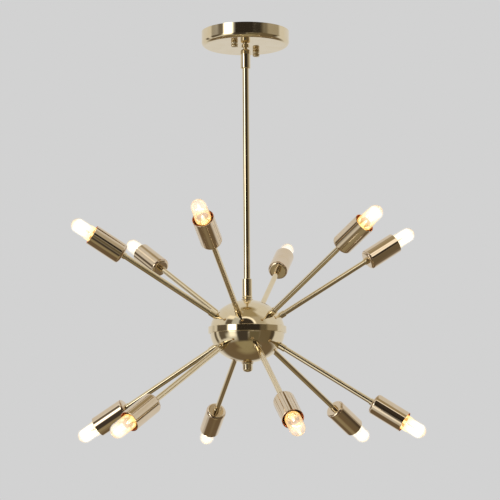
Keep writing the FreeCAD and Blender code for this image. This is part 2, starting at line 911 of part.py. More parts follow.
def make_lampholders(bulb_start):
    """Insulating sleeves on the arm tips, with a screw shell and a centre contact in each."""
    outer = size("holder_radius")
    tall = size("holder_length")
    start = size("cup_reach") + size("cup_wall") + 0.25
    pocket = size("shell_outer") + RUNNING
    pocket_floor = bulb_start - 0.6 - start
    socket = size("arm_thread") + 0.1
    socket_top = size("tip_length")
    passage = size("arm_wire_radius") + 0.3
    edge = 0.5
    holder = turned("lampholder", [
        corner(socket, 0),
        corner(outer, 0),
        corner(outer, tall - edge),
        corner(outer - edge, tall),
        corner(pocket, tall),
        corner(pocket, pocket_floor),
        corner(0, pocket_floor),
        corner(0, pocket_floor - 3.6),
        corner(passage, pocket_floor - 3.6),
        corner(passage, socket_top),
        corner(socket, socket_top),
    ])
    group("lampholders", [(holder, place) for place in arm_placements(start)])

    shell = turned("screw_shell", [
        corner(size("shell_inner"), 0),
        corner(size("shell_outer"), 0),
        corner(size("shell_outer"), size("shell_length")),
        corner(size("shell_inner"), size("shell_length")),
    ])
    contact = cylinder("centre_contact", fixed(2.5), fixed(0.4))
    pieces = [(shell, place) for place in arm_placements(bulb_start + 0.3)]
    pieces += [(contact, place) for place in arm_placements(bulb_start - 0.55)]
    group("socket_contacts", pieces)


# ---------------------------------------------------------------- wiring held inside

def make_wiring(bulb_start):
    """Two leads down stem and rod to two connectors, and one insulated pair in each arm."""
    reach = size("connector_reach")
    start_x = fixed(1.4)
    bend = 7.0
    step_out = bend * (1 - math.cos(math.radians(45)))
    step_up = bend * math.sin(math.radians(45))
    slope = reach - start_x - 2 * step_out
    straight = 2.5
    entry = hub_height + 7.5
    top = ball_height - size("ball_cut") - 2.4
    lead = new_body("supply_lead")
    section = new_sketch(lead, "supply_lead_section", "XY_Plane")
    draw_circle(section, reach, ZERO, size("lead_radius"))
    route = new_sketch(lead, "supply_lead_route", "XZ_Plane")
    low_bend = fixed(straight)
    draw_run(route, [
        corner(reach, 0),
        corner(reach, low_bend, "left", bend),
        corner(reach - step_out, low_bend + step_up),
        corner(start_x + step_out, low_bend + step_up + slope, "right", bend),
        corner(start_x, low_bend + 2 * step_up + slope),
        corner(start_x, top - entry),
    ], False)
    pipe = lead.newObject("PartDesign::AdditivePipe", "supply_lead_pipe")
    pipe.Profile = section
    pipe.Spine = (route, ["Edge%d" % edge for edge in range(1, 6)])
    lead.Tip = pipe
    group("supply_wires", [(lead, place) for place in opposite(0, entry, 0)])

    inner = fixed(24)
    outer = bulb_start - 5.0
    pair = cylinder("arm_wire", size("arm_wire_radius"), outer - inner)
    group("arm_wires", [(pair, place) for place in arm_placements(inner)])

    wide = size("connector_radius")
    tall = size("connector_length")
    mouth = 3.4
    cap = turned("wire_connector", [
        corner(0, 0),
        corner(wide - 2.0, 0),
        corner(wide, tall - 5.0),
        corner(wide, tall),
        corner(mouth, tall),
        corner(mouth - 1.4, tall - 9.0),
        corner(0, tall - 9.0),
    ])
    rim = entry + 3.0
    group("wire_connectors", [(cap, place) for place in opposite(reach, rim - tall, 0)])


# ---------------------------------------------------------------- build, check and write

make_canopy()
make_mounting_plate()
make_canopy_hardware()
make_swivel_mount()
make_ball_stud()
make_swivel_body()
make_stem()
make_coupling()
make_rod()
make_finial()
make_shells()
make_band()
bulb_base_reach = make_lights()
make_arm_lock_nuts()
make_lampholders(bulb_base_reach)
make_wiring(bulb_base_reach)
doc.recompute()

for item in doc.Objects:
    if "Invalid" in item.State or "Error" in item.State:
        raise ValueError("%s failed: %s" % (item.Name, item.State))

os.makedirs("parts", exist_ok=True)
for node in nodes:
    shape = node.Shape
    if shape.isNull() or not shape.isValid() or not shape.Solids:
        raise ValueError(node.Label + " has no valid solid")
    shape.exportStep("parts/%s.step" % node.Label)
    print("%-20s %2d solids %10.1f mm3" % (node.Label, len(shape.Solids), shape.Volume))
print("%d parts, hub centre at z = %.2f" % (len(nodes), hub_height.value))
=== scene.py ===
# %% Load the frame
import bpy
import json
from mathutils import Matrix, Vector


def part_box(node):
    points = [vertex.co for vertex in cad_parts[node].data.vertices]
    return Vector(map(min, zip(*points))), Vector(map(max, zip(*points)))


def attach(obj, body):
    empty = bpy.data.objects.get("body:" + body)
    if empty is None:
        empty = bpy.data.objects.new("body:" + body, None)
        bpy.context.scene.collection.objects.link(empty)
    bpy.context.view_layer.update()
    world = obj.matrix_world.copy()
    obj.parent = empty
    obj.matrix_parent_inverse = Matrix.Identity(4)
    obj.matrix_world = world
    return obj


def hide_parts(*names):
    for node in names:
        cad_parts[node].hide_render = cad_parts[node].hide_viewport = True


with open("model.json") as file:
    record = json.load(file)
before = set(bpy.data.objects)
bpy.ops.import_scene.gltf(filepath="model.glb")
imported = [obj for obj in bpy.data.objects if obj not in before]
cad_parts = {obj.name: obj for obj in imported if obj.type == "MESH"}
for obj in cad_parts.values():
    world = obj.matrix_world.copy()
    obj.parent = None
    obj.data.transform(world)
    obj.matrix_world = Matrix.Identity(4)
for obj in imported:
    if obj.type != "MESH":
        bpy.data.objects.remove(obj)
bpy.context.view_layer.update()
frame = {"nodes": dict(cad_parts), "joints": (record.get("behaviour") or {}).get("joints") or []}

# %% [markdown]
# # A twelve arm chandelier in polished brass
# The frame holds every hard part of the lamp at its true size: a ceiling canopy, a swivel,
# a stem, a hub with a belt, and twelve arms with a cup at the end of each. None of that is
# moved here. This lesson gives the parts their finishes, screws a finished lamp into every
# cup, and then builds the floor, the lights and the camera of a small studio.

# %% Modules and units
import json
import math

import bmesh
import bpy
from mathutils import Matrix, Vector

MM = 0.001
ARMS_IN_A_TIER = 6
NUMBERS = range(1, 2 * ARMS_IN_A_TIER + 1)
FIRST_UPPER, FIRST_LOWER = 1, 1 + ARMS_IN_A_TIER
print("one unit is a metre, so a millimetre is", MM)

# %% [markdown]
# ## Colours and nodes
# Paint charts and screens give a colour as a hex value on the sRGB curve. The renderer adds
# light, so it wants the linear value. One function turns the first into the second. A second
# function adds one shader node, sets it and links it, so each finish reads as a short recipe.


# %% A hex colour becomes a linear one
def linear(hex_colour):
    """Gives the linear red, green, blue and an alpha of 1 for an sRGB value such as #E8D2A0."""
    channels = [int(hex_colour[i : i + 2], 16) / 255 for i in (1, 3, 5)]
    curve = [c / 12.92 if c <= 0.04045 else ((c + 0.055) / 1.055) ** 2.4 for c in channels]
    return (*curve, 1.0)


print("mid grey #808080 is", round(linear("#808080")[0], 3), "in linear light")


# %% One function adds a node
def add_node(tree, kind, inputs=None, **settings):
    """Adds a node, sets its properties, and fills or links its inputs by name or number."""
    node = tree.nodes.new(kind)
    for name, value in settings.items():
        setattr(node, name, value)
    for name, value in (inputs or {}).items():
        socket = node.inputs[name]
        if isinstance(value, bpy.types.NodeSocket):
            tree.links.new(value, socket)
        else:
            socket.default_value = value
    return node


# %% [markdown]
# A few nodes come back in every finish. Each gets a function with a plain name: arithmetic on
# numbers and on places, a value spread from one span to another, a random pattern of a
# given size, a colour ramp, and a bump. All of them give back the result, ready to be linked.


# %% Short names for the nodes that come back
NOISE_SPAN = (0.3, 0.7)  # nearly all of a noise's values lie between these two


def maths(tree, operation, *values):
    """One step of arithmetic on numbers."""
    return add_node(tree, "ShaderNodeMath", dict(enumerate(values)), operation=operation).outputs[0]


def vectors(tree, operation, *values):
    """One step of arithmetic on places: gives a place, or a number for a length or a dot product."""
    node = add_node(tree, "ShaderNodeVectorMath", dict(enumerate(values)), operation=operation)
    return node.outputs["Value" if operation in ("LENGTH", "DOT_PRODUCT") else "Vector"]


def remap(tree, value, source, target, **settings):
    """Spreads a value from one span, such as NOISE_SPAN, to another."""
    ends = {0: value, 1: source[0], 2: source[1], 3: target[0], 4: target[1]}
    return add_node(tree, "ShaderNodeMapRange", ends, **settings).outputs[0]


def noise(tree, place, size_mm, detail=2.0, roughness=0.5):
    """A soft random pattern whose features are about size_mm across."""
    node = add_node(tree, "ShaderNodeTexNoise", {"Vector": place, "Scale": 1 / (size_mm * MM),
                                                 "Detail": detail, "Roughness": roughness})
    return node.outputs["Fac"]


def two_tones(tones):
    """The stops of a ramp that lets a noise mix two colours."""
    return list(zip(NOISE_SPAN, tones))


def ramp(tree, value, stops):
    """Turns a value into a colour. Each stop is a place from 0 to 1 and a hex colour."""
    node = add_node(tree, "ShaderNodeValToRGB", {0: value})
    elements = node.color_ramp.elements
    while len(elements) < len(stops):
        elements.new(0.5)
    for element, (place, colour) in zip(elements, stops):
        element.position = place
        element.color = linear(colour)
    return node.outputs[0]


def bump(tree, height, strength, depth_mm, under=None):
    """Tilts the surface as if it rose and fell by depth_mm, over another bump if one is given."""
    inputs = {"Height": height, "Strength": strength, "Distance": depth_mm * MM}
    if under is not None:
        inputs["Normal"] = under
    return add_node(tree, "ShaderNodeBump", inputs).outputs[0]


def start_material(name):
    """Makes an empty material. Gives it, its node tree, and the place of each point in the scene."""
    material = bpy.data.materials.new(name)
    material.use_nodes = True
    tree = material.node_tree
    tree.nodes.clear()
    return material, tree, add_node(tree, "ShaderNodeTexCoord").outputs["Object"]


def end_material(tree, surface):
    """Links the finished surface to the material's output."""
    add_node(tree, "ShaderNodeOutputMaterial", {"Surface": surface})


# %% [markdown]
# ## Polished brass
# The visible metal is brass sheet and tube, buffed to a mirror and lacquered so that it
# stays bright. Nearly all of its look is what it reflects, so its own colour is a pale
# champagne and its roughness is low. Three faint things stop it from looking like a
# computer's mirror: buffing lines that follow the way each part was worked, a haze where
# the wheel left the lacquer a little uneven, and a slow change of tone. Lines from a buffing
# wheel are about 0.05 mm apart, too fine to show, so they are drawn about 0.6 mm apart.
# The lines run round a spun shell, round a turned cup, and along a drawn tube, so the three
# kinds share one recipe and differ only in how they look up the lines.

# %% Where the lines of each kind of work lie
belt_low, belt_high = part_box("equator_band")
belt_height = (belt_low.z + belt_high.z) / 2
print("the belt's middle hangs", round(-1000 * belt_height, 1), "mm under the ceiling")


def lines_round_the_stem(tree, place):
    """Rings about the vertical axis: the lookup is the distance from the axis and the height."""
    parts = add_node(tree, "ShaderNodeSeparateXYZ", {0: place})
    flat = add_node(tree, "ShaderNodeCombineXYZ", {0: parts.outputs[0], 1: parts.outputs[1]})
    reach = vectors(tree, "LENGTH", flat.outputs[0])
    return add_node(tree, "ShaderNodeCombineXYZ", {0: reach, 1: parts.outputs[2]}).outputs[0]


def lines_along_the_stem(tree, place):
    """Lines along the stem: the height hardly counts."""
    return vectors(tree, "MULTIPLY", place, (1, 1, 0.01))


def lines_round_the_arm(aim):
    """Rings about an arm: every ring of a cup is equally far from the point its arm aims at."""
    def lookup(tree, place):
        reach = vectors(tree, "LENGTH", vectors(tree, "SUBTRACT", place, aim))
        return add_node(tree, "ShaderNodeCombineXYZ", {0: reach}).outputs[0]
    return lookup


def lines_along_the_arm(aim):
    """Lines along a tube: the direction from the point the tube aims at never changes along it."""
    arm_reach = 150 * MM

    def lookup(tree, place):
        way = vectors(tree, "NORMALIZE", vectors(tree, "SUBTRACT", place, aim))
        inputs = {0: way, "Scale": arm_reach}
        return add_node(tree, "ShaderNodeVectorMath", inputs, operation="SCALE").outputs[0]
    return lookup


# %% The recipe for polished and lacquered brass
champagne = ("#F1E1C0", "#ECDAB4")
# The next two tones are painted shade: the dark red brown inside each cup, warmed by the lamps' light.
painted_cup_shade = ("#94502C", "#6E3A20")
haze_mm, wave_length_mm, line_depth_mm = 18, 30, 0.0015
haze_adds, lines_add = 0.035, (-0.008, 0.012)  # to the roughness


def polished_brass(name, lookup, line_mm=0.6, wave_mm=0.12, rough_from=0.04, lining=None, tones=champagne):
    """Brass buffed along the lines that lookup gives, with a thin clear lacquer.

    wave_mm is how deep the sheet undulates. A lining tells where the cup's painted shade begins.
    """
    material, tree, place = start_material(name)
    lines = noise(tree, lookup(tree, place), line_mm, detail=3.0, roughness=0.6)
    haze = noise(tree, place, haze_mm)
    waves = noise(tree, place, wave_length_mm, detail=0.0)
    tone = ramp(tree, haze, two_tones(tones))
    hazy = remap(tree, haze, (0.35, 0.75), (rough_from, rough_from + haze_adds))
    lined = remap(tree, lines, NOISE_SPAN, lines_add)
    rough = maths(tree, "ADD", hazy, lined)
    wavy = bump(tree, waves, strength=0.2, depth_mm=wave_mm)
    fine = bump(tree, lines, strength=0.1, depth_mm=line_depth_mm, under=wavy)
    shader = add_node(tree, "ShaderNodeBsdfPrincipled",
                      {"Base Color": tone, "Metallic": 1.0, "Roughness": rough, "Normal": fine,
                       "Coat Weight": 0.2, "Coat Roughness": 0.02})
    surface = shader.outputs[0]
    if lining:
        # Inside the cup the buffed brass gives way to a painted shade of dark red brown, duller and less
        # metallic.
        painted_shade_tone = ramp(tree, haze, two_tones(painted_cup_shade))
        shaded_inside = add_node(tree, "ShaderNodeBsdfPrincipled",
                       {"Base Color": painted_shade_tone, "Metallic": 0.4, "Roughness": 0.5})
        inside = lining(tree, place)
        both = add_node(tree, "ShaderNodeMixShader", {0: inside, 1: surface, 2: shaded_inside.outputs[0]})
        surface = both.outputs[0]
    end_material(tree, surface)
    return material


# %% [markdown]
# The lower and the upper arms aim at two points a little above and below the belt. Each aim
# point comes from where the arm's own axis, which is its lamp's joint axis, meets the stem's
# axis line.

# %% The two points the arms aim at
slides = {j["child"]: Vector(j["axis"]).normalized() for j in frame["joints"] if j["type"] == "slide"}


def aim_of(number):
    """Where the axis of an arm meets the stem's axis line."""
    along = slides[f"lamp_{number:02d}"]
    arm_low, arm_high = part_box(f"arm_{number:02d}")
    on_arm = (arm_low + arm_high) / 2
    slope = along.z / math.hypot(along.x, along.y)
    return Vector((0, 0, on_arm.z - math.hypot(on_arm.x, on_arm.y) * slope))


upper_aim, lower_aim = aim_of(FIRST_UPPER), aim_of(FIRST_LOWER)
hub_centre = (upper_aim + lower_aim) / 2
print("upper arms aim at", round(1000 * (upper_aim.z - belt_height), 1), "mm from the belt's middle")
print("lower arms aim at", round(1000 * (lower_aim.z - belt_height), 1), "mm from the belt's middle")

# %% [markdown]
# Only the outside of a cup is buffed. The inside is painted a dark red brown: painted shade
# in the hollow, warmed by the lamps' light. The shader finds the inside by how far a point is from the
# axis of its arm: the six arms of a tier are 60 degrees apart, so the angle round the stem
# is folded into one wedge of 60 degrees, and one axis then serves all six.

# %% Where a cup's inside begins
cup_inside_radius = 14.4 * MM
cup_floor = 2 * MM
half_wedge = math.pi / ARMS_IN_A_TIER


def inside_the_cup(number, aim):
    """Gives a lookup that is 1 on the inside of the cups in the tier of this arm."""
    along = slides[f"lamp_{number:02d}"]
    first, level = math.atan2(along.y, along.x), math.hypot(along.x, along.y)
    folded_axis = (level, 0, along.z)
    cup = frame["nodes"][f"socket_cup_{number:02d}"].data
    cup_base = min((vertex.co - aim).dot(along) for vertex in cup.vertices)

    def lookup(tree, place):
        parts = add_node(tree, "ShaderNodeSeparateXYZ", {0: vectors(tree, "SUBTRACT", place, aim)})
        turn = maths(tree, "ARCTAN2", parts.outputs[1], parts.outputs[0])
        wedge = maths(tree, "WRAP", maths(tree, "SUBTRACT", turn, first), half_wedge, -half_wedge)
        flat = add_node(tree, "ShaderNodeCombineXYZ", {0: parts.outputs[0], 1: parts.outputs[1]})
        reach = vectors(tree, "LENGTH", flat.outputs[0])
        straight = add_node(tree, "ShaderNodeCombineXYZ", {0: reach})
        folded = add_node(tree, "ShaderNodeVectorRotate",
                          {"Vector": straight.outputs[0], "Angle": wedge}, rotation_type="Z_AXIS")
        height = add_node(tree, "ShaderNodeCombineXYZ", {2: parts.outputs[2]})
        spot = vectors(tree, "ADD", folded.outputs[0], height.outputs[0])
        off_axis = vectors(tree, "LENGTH", vectors(tree, "CROSS_PRODUCT", spot, folded_axis))
        inside = maths(tree, "LESS_THAN", off_axis, cup_inside_radius)
        along_axis = vectors(tree, "DOT_PRODUCT", spot, folded_axis)
        past_floor = maths(tree, "GREATER_THAN", along_axis, cup_base + cup_floor)
        return maths(tree, "MULTIPLY", inside, past_floor)
    return lookup


# %% [markdown]
# Each kind of work now gets its own brass. Spun sheet undulates the most, and drawn tube
# hardly at all. The cups are from another batch than the hub and a shade rosier. A knurl
# can't be buffed to a mirror, so the cap nuts are duller.

# %% Every brass part gets the brass of its own kind of work
rosy_champagne = ("#ECD9BE", "#E7D2B2")
spun = polished_brass("spun_brass_lacquered", lines_round_the_stem)
turned = polished_brass("turned_brass_lacquered", lines_round_the_stem, line_mm=0.35, wave_mm=0.02)
stem_brass = polished_brass("drawn_stem_brass_lacquered", lines_along_the_stem, wave_mm=0.01)
knurled = polished_brass("knurled_brass_lacquered", lines_round_the_stem, rough_from=0.3)
arm_brass, cup_brass = {}, {}
for tier, aim, first_arm in (("upper", upper_aim, FIRST_UPPER),
                             ("lower", lower_aim, FIRST_LOWER)):
    arm_brass[tier] = polished_brass(f"drawn_{tier}_arm_brass_lacquered", lines_along_the_arm(aim),
                                     wave_mm=0.01)
    cup_brass[tier] = polished_brass(f"turned_{tier}_cup_brass_lacquered", lines_round_the_arm(aim),
                                     wave_mm=0.04, lining=inside_the_cup(first_arm, aim),
                                     tones=rosy_champagne)


def finish_nodes(material, *names):
    """Puts a material in every slot of the named CAD nodes."""
    for name in names:
        for slot in frame["nodes"][name].material_slots:
            slot.material = material


finish_nodes(spun, "ceiling_canopy", "upper_shell", "lower_shell", "equator_band")
finish_nodes(turned, "canopy_cap_nuts", "swivel_nipple", "swivel_ball_stud", "swivel_body",
             "lower_coupling", "hub_check_ring", "finial")
finish_nodes(stem_brass, "stem_tube")
for number in NUMBERS:
    tier = "upper" if number <= ARMS_IN_A_TIER else "lower"
    finish_nodes(arm_brass[tier], f"arm_{number:02d}")
    finish_nodes(cup_brass[tier], f"socket_cup_{number:02d}")
print("brass finishes", sum(m.name.endswith("lacquered") for m in bpy.data.materials))

# %% [markdown]
# ## Zinc plated steel
# The plate, studs, rod and nuts inside are mild steel with a thin bright zinc plating. Zinc
# is bluish white and dries in soft patches a few millimetres wide, so it is a metal of
# middling roughness with a patchy tone.

# %% Zinc plated steel
zinc, tree, place = start_material("zinc_plated_steel")
patch_mm = 3
patches = add_node(tree, "ShaderNodeTexVoronoi",
                   {"Vector": place, "Scale": 1 / (patch_mm * MM), "Randomness": 1.0})
grain = noise(tree, place, 0.5, detail=3.0)
tone = ramp(tree, patches.outputs["Distance"], [(0.0, "#C9CDD0"), (0.8, "#B2B6B9")])
rough = remap(tree, grain, NOISE_SPAN, (0.26, 0.42))
shader = add_node(tree, "ShaderNodeBsdfPrincipled",
                  {"Base Color": tone, "Metallic": 1.0, "Roughness": rough,
                   "Normal": bump(tree, grain, strength=0.2, depth_mm=0.02)})
end_material(tree, shader.outputs[0])
finish_nodes(zinc, "mounting_plate", "canopy_studs", "canopy_lock_nut", "stud_retaining_ring",
             "swivel_pivot_pins", "center_rod", "arm_lock_nuts")
print(zinc.name, "has", len(tree.nodes), "nodes")

# %% [markdown]
# ## Phenolic, contact brass, wire and connectors
# A candelabra lampholder is pressed from phenolic resin filled with wood flour: nearly
# black brown, a little glossy, with a faint mottle about 1 mm across. Its screw shell is
# stamped from plain brass that has dulled. The wires have clear gold vinyl over tinned
# strands, and the connectors are moulded orange plastic with a fine spark texture.


# %% A recipe for moulded and stamped small parts
def small_part(name, tones, mottle_mm, rough_from, rough_to, metallic=0.0, ior=1.5, bump_mm=0.01):
    """A material with a mottle of one size that moves its tone, its gloss and its surface."""
    material, tree, place = start_material(name)
    mottle = noise(tree, place, mottle_mm, detail=4.0)
    tone = ramp(tree, mottle, two_tones(tones))
    rough = remap(tree, mottle, NOISE_SPAN, (rough_from, rough_to))
    shader = add_node(tree, "ShaderNodeBsdfPrincipled",
                      {"Base Color": tone, "Metallic": metallic, "Roughness": rough,
                       "IOR": ior, "Normal": bump(tree, mottle, strength=0.3, depth_mm=bump_mm)})
    end_material(tree, shader.outputs[0])
    return material


phenolic = small_part("pressed_phenolic", ("#4A2A1A", "#2E180F"), 1.0, 0.32, 0.45, ior=1.6)
stamped = small_part("stamped_contact_brass", ("#D9B777", "#B98F4E"), 2.0, 0.18, 0.34, metallic=1.0)
vinyl = small_part("clear_gold_vinyl_wire", ("#B4935A", "#9C7B42"), 1.5, 0.25, 0.35, ior=1.53)
connector = small_part("moulded_orange_connector", ("#D8692A", "#C95C20"), 0.8, 0.38, 0.5,
                       ior=1.49, bump_mm=0.04)
finish_nodes(phenolic, "lampholders")
finish_nodes(stamped, "socket_contacts")
finish_nodes(vinyl, "arm_wires", "supply_wires")
finish_nodes(connector, "wire_connectors")
print("materials so far", len(bpy.data.materials))

# %% [markdown]
# ## A lathe
# A lathe turns an outline about the axis. Most of a lamp is round, so one function makes
# those meshes from a list of radius and height pairs. Where the radius is 0 the outline
# closes on the axis in one point, so no hole or stray face is left there.


# %% A lathe for round shapes
ON_THE_AXIS = 1e-7


def mesh_of(name, grid):
    """Turns an open mesh into smooth mesh data."""
    mesh = bpy.data.meshes.new(name)
    grid.to_mesh(mesh)
    grid.free()
    mesh.polygons.foreach_set("use_smooth", [True] * len(mesh.polygons))
    return mesh


def in_mm(outline):
    """An outline given in millimetres, in the scene's metres."""
    return [(radius * MM, height * MM) for radius, height in outline]


def lathe(name, outline, around=48):
    """A smooth mesh made by turning an outline of (radius, height) about Z."""
    grid = bmesh.new()
    turns = [2 * math.pi * i / around for i in range(around)]
    rings = []
    for radius, height in outline:
        places = [(radius * math.cos(t), radius * math.sin(t), height) for t in turns]
        if radius < ON_THE_AXIS:
            places = [(0, 0, height)]
        rings.append([grid.verts.new(place) for place in places])
    for one, other in zip(rings, rings[1:]):
        for i in range(around):
            corners = [one[i % len(one)], one[(i + 1) % len(one)],
                       other[(i + 1) % len(other)], other[i % len(other)]]
            distinct = [c for k, c in enumerate(corners) if c not in corners[:k]]
            if len(distinct) > 2:
                grid.faces.new(distinct)
    bmesh.ops.recalc_face_normals(grid, faces=grid.faces)
    return mesh_of(name, grid)


# %% [markdown]
# Three small turned parts have more shape than their plain stand-ins in the frame. The cap
# nuts are knurled for the fingers, with a groove cut round the middle. The finial ends in a
# round nose and opens into a skirt against the hub. The check ring has a rim under the
# coupling and a wide foot on the hub. All three stand on the axes of the frame's parts.

# %% Cap nuts, finial and check ring
nose_radius, nose_height, nose_steps = 7.1, 4.4, 10
nose = [(nose_radius * math.sin(t * math.pi / 2 / nose_steps),
         nose_height - nose_height * math.cos(t * math.pi / 2 / nose_steps)) for t in range(nose_steps + 1)]
skirt = [(7.1, 10.4), (7.5, 11.6), (8.4, 12.6), (9.3, 13.0), (9.3, 13.3), (5.0, 13.5)]
foot_to_rim = [(5.0, 0.05), (8.8, -0.35), (9.0, -0.1), (7.6, 0.6), (6.7, 1.5), (6.6, 2.0), (7.4, 2.1),
               (7.6, 2.3), (7.6, 4.0), (7.4, 4.2), (5.0, 4.25)]
nut_outline = [(0.0, 0.0), (3.6, 0.3), (4.6, 0.8), (5.0, 1.2), (5.0, 3.8), (4.3, 4.1), (4.3, 4.7),
               (5.0, 5.0), (5.0, 8.2), (4.6, 8.6), (2.2, 8.7)]
finial_mesh = lathe("finial_round_nose", in_mm(nose + skirt), around=96)
ring_mesh = lathe("check_ring_with_foot", in_mm(foot_to_rim), around=96)
nut_mesh = lathe("knurled_cap_nut", in_mm(nut_outline), around=180)

# %% [markdown]
# A knurling wheel presses ridges into the widest part of a nut, so only the points near its
# full radius are pushed in, by a wave that runs eighteen times round.

# %% Knurl the nuts
nut_radius, knurled_from, ridges, ridge_depth = 5.0 * MM, 4.9 * MM, 18, 0.2 * MM
for vertex in nut_mesh.vertices:
    reach = math.hypot(vertex.co.x, vertex.co.y)
    if reach > knurled_from:
        cut = ridge_depth * (0.5 + 0.5 * math.cos(ridges * math.atan2(vertex.co.y, vertex.co.x)))
        vertex.co.x *= 1 - cut / reach
        vertex.co.y *= 1 - cut / reach
for mesh, brass in ((finial_mesh, turned), (ring_mesh, turned), (nut_mesh, knurled)):
    mesh.materials.append(brass)


def stand_in(name, mesh, place, body, node):
    """Stands a turned brass piece at a place, on a body, for a CAD node."""
    piece = bpy.data.objects.new(name, mesh)
    bpy.context.scene.collection.objects.link(piece)
    piece.location = place
    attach(piece, body)
    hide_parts(node)


stand_in("finial_round_nose", finial_mesh, (0, 0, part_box("finial")[0].z), "chandelier", "finial")
stand_in("check_ring_with_foot", ring_mesh, (0, 0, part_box("hub_check_ring")[0].z), "chandelier",
         "hub_check_ring")
nuts_low, nuts_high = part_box("canopy_cap_nuts")
nut_x, nut_y = nuts_high.x - nut_radius, nuts_high.y - nut_radius
for count, side in enumerate((1, -1), start=1):
    place = (side * nut_x, side * nut_y, nuts_low.z)
    stand_in(f"knurled_cap_nut_{count}", nut_mesh, place, "canopy", "canopy_cap_nuts")
print("a nut stands", round(1000 * math.hypot(nut_x, nut_y), 1), "mm from the axis")

# %% [markdown]
# ## The lamps
# Each cup holds a small clear tubular lamp with a candelabra screw: 22 mm across, 57 mm
# long. Up close it is several things: a thin blown envelope, a brass screw shell with a
# black glass button and a solder tip, a pressed glass mount, two lead wires and a
# support, and the coiled tungsten filament. They are modelled once, standing on the tip
# with the axis up, and the twelve lamps share the meshes.

# %% Measure the plain lamp that the frame holds
tip_to_top = 57.0 * MM
widest = 11.1 * MM


def lamp_base(number):
    """The tip of a lamp's base, the lowest point of its CAD node along its own axis, and its length."""
    along = slides[f"lamp_{number:02d}"]
    aim = upper_aim if number <= ARMS_IN_A_TIER else lower_aim
    mesh = frame["nodes"][f"bulb_{number:02d}"].data
    reaches = [(v.co - aim).dot(along) for v in mesh.vertices]
    return aim + min(reaches) * along, max(reaches) - min(reaches)


for number in (FIRST_UPPER, FIRST_LOWER):
    print("lamp", number, "is", round(1000 * lamp_base(number)[1], 2), "mm long")

# %% [markdown]
# The envelope is drawn from a straight tube: a narrow neck grows in a soft shoulder to the
# tube, and the far end is closed in a flame to a round dome. The wall is 0.7 mm thick and
# has an inner and an outer face, so its edge shows double, as it does in real glass.

# %% The envelope
neck, wall = 6.0 * MM, 0.7 * MM
shoulder_from, shoulder_to, dome_from = 14.6 * MM, 22.0 * MM, 46.0 * MM
shoulder_steps, dome_steps = 8, 12


def envelope_outline(inset):
    """The outline from the neck to the dome's top, moved inwards by inset."""
    points = []
    for i in range(shoulder_steps + 1):
        t = i / shoulder_steps
        ease = t * t * (3 - 2 * t)
        height = shoulder_from + (shoulder_to - shoulder_from) * t
        points.append((neck + (widest - neck) * ease - inset, height))
    points.append((widest - inset, (shoulder_to + dome_from) / 2))
    for i in range(dome_steps + 1):
        turn = math.pi / 2 * i / dome_steps
        rise = tip_to_top - dome_from - inset
        points.append((max(0.0, (widest - inset) * math.cos(turn)), dome_from + rise * math.sin(turn)))
    points[-1] = (0.0, tip_to_top - inset)
    return points


envelope_mesh = lathe("lamp_envelope", envelope_outline(0.0) + envelope_outline(wall)[::-1], around=64)
print("envelope faces", len(envelope_mesh.polygons))

# %% [markdown]
# The screw shell is rolled from thin sheet, so its thread is a soft wave, not a sharp V.
# A candelabra thread has ten turns to the inch, which is 2.54 mm from crest to crest. The
# wave is a grid whose radius depends on the height and on the angle together, which winds
# it into a helix. It fades out at both ends.

# %% The screw shell, the button and the tip
pitch, crest, root = 2.54 * MM, 5.85 * MM, 5.35 * MM
shell_from, shell_to = 4.0 * MM, 15.4 * MM
fade_in, fade_out = 0.08, 0.22


def join_rings(grid, rings):
    """Closes the bands between rings that have equally many points."""
    for one, other in zip(rings, rings[1:]):
        for i in range(len(one)):
            k = (i + 1) % len(one)
            grid.faces.new((one[i], one[k], other[k], other[i]))


def screw_shell(name, around=48, rows=72):
    """A rolled thread between two plain edges."""
    grid = bmesh.new()
    rings = []
    for row in range(rows + 1):
        t = row / rows
        height = shell_from + (shell_to - shell_from) * t
        fade = min(1.0, t / fade_in, (1 - t) / fade_out)
        ring = []
        for i in range(around):
            turn = 2 * math.pi * i / around
            wave = 0.5 + 0.5 * math.cos(2 * math.pi * height / pitch - turn)
            radius = root + (crest - root) * (wave * fade + (1 - fade) * 0.75)
            ring.append(grid.verts.new((radius * math.cos(turn), radius * math.sin(turn), height)))
        rings.append(ring)
    join_rings(grid, rings)
    return mesh_of(name, grid)


shell_mesh = screw_shell("lamp_screw_shell")
button_outline = [(5.45, 4.2), (5.1, 3.4), (4.2, 2.2), (2.6, 1.3), (2.2, 1.1)]
tip_outline = [(2.3, 1.2), (2.1, 0.7), (1.5, 0.25), (0.8, 0.05), (0.0, 0.0)]
button_mesh = lathe("lamp_button", in_mm(button_outline))
tip_mesh = lathe("lamp_solder_tip", in_mm(tip_outline))
print("thread turns", round((shell_to - shell_from) / pitch, 1))

# %% [markdown]
# Inside, a flared glass tube rises from the neck and is pressed flat round the two lead
# wires. The wires carry the filament, a coil of tungsten wire as fine as a hair. The real
# coil has hundreds of turns and is 0.1 mm thick. It is drawn with forty turns, 0.9 mm
# across, so that it shows.


# %% A tube along a line of points
def tube(grid, points, radius, sides=8):
    """Adds a tube to an open mesh, carrying its section along without twist."""
    side = Vector((1, 0, 0))
    turns = [2 * math.pi * k / sides for k in range(sides)]
    rings = []
    for i, point in enumerate(points):
        ahead = (points[min(i + 1, len(points) - 1)] - points[max(i - 1, 0)]).normalized()
        side = (side - ahead * side.dot(ahead)).normalized()
        other = ahead.cross(side)
        spokes = [math.cos(t) * side + math.sin(t) * other for t in turns]
        rings.append([grid.verts.new(point + radius * spoke) for spoke in spokes])
    join_rings(grid, rings)
    grid.faces.new(rings[0][::-1])
    grid.faces.new(rings[-1])


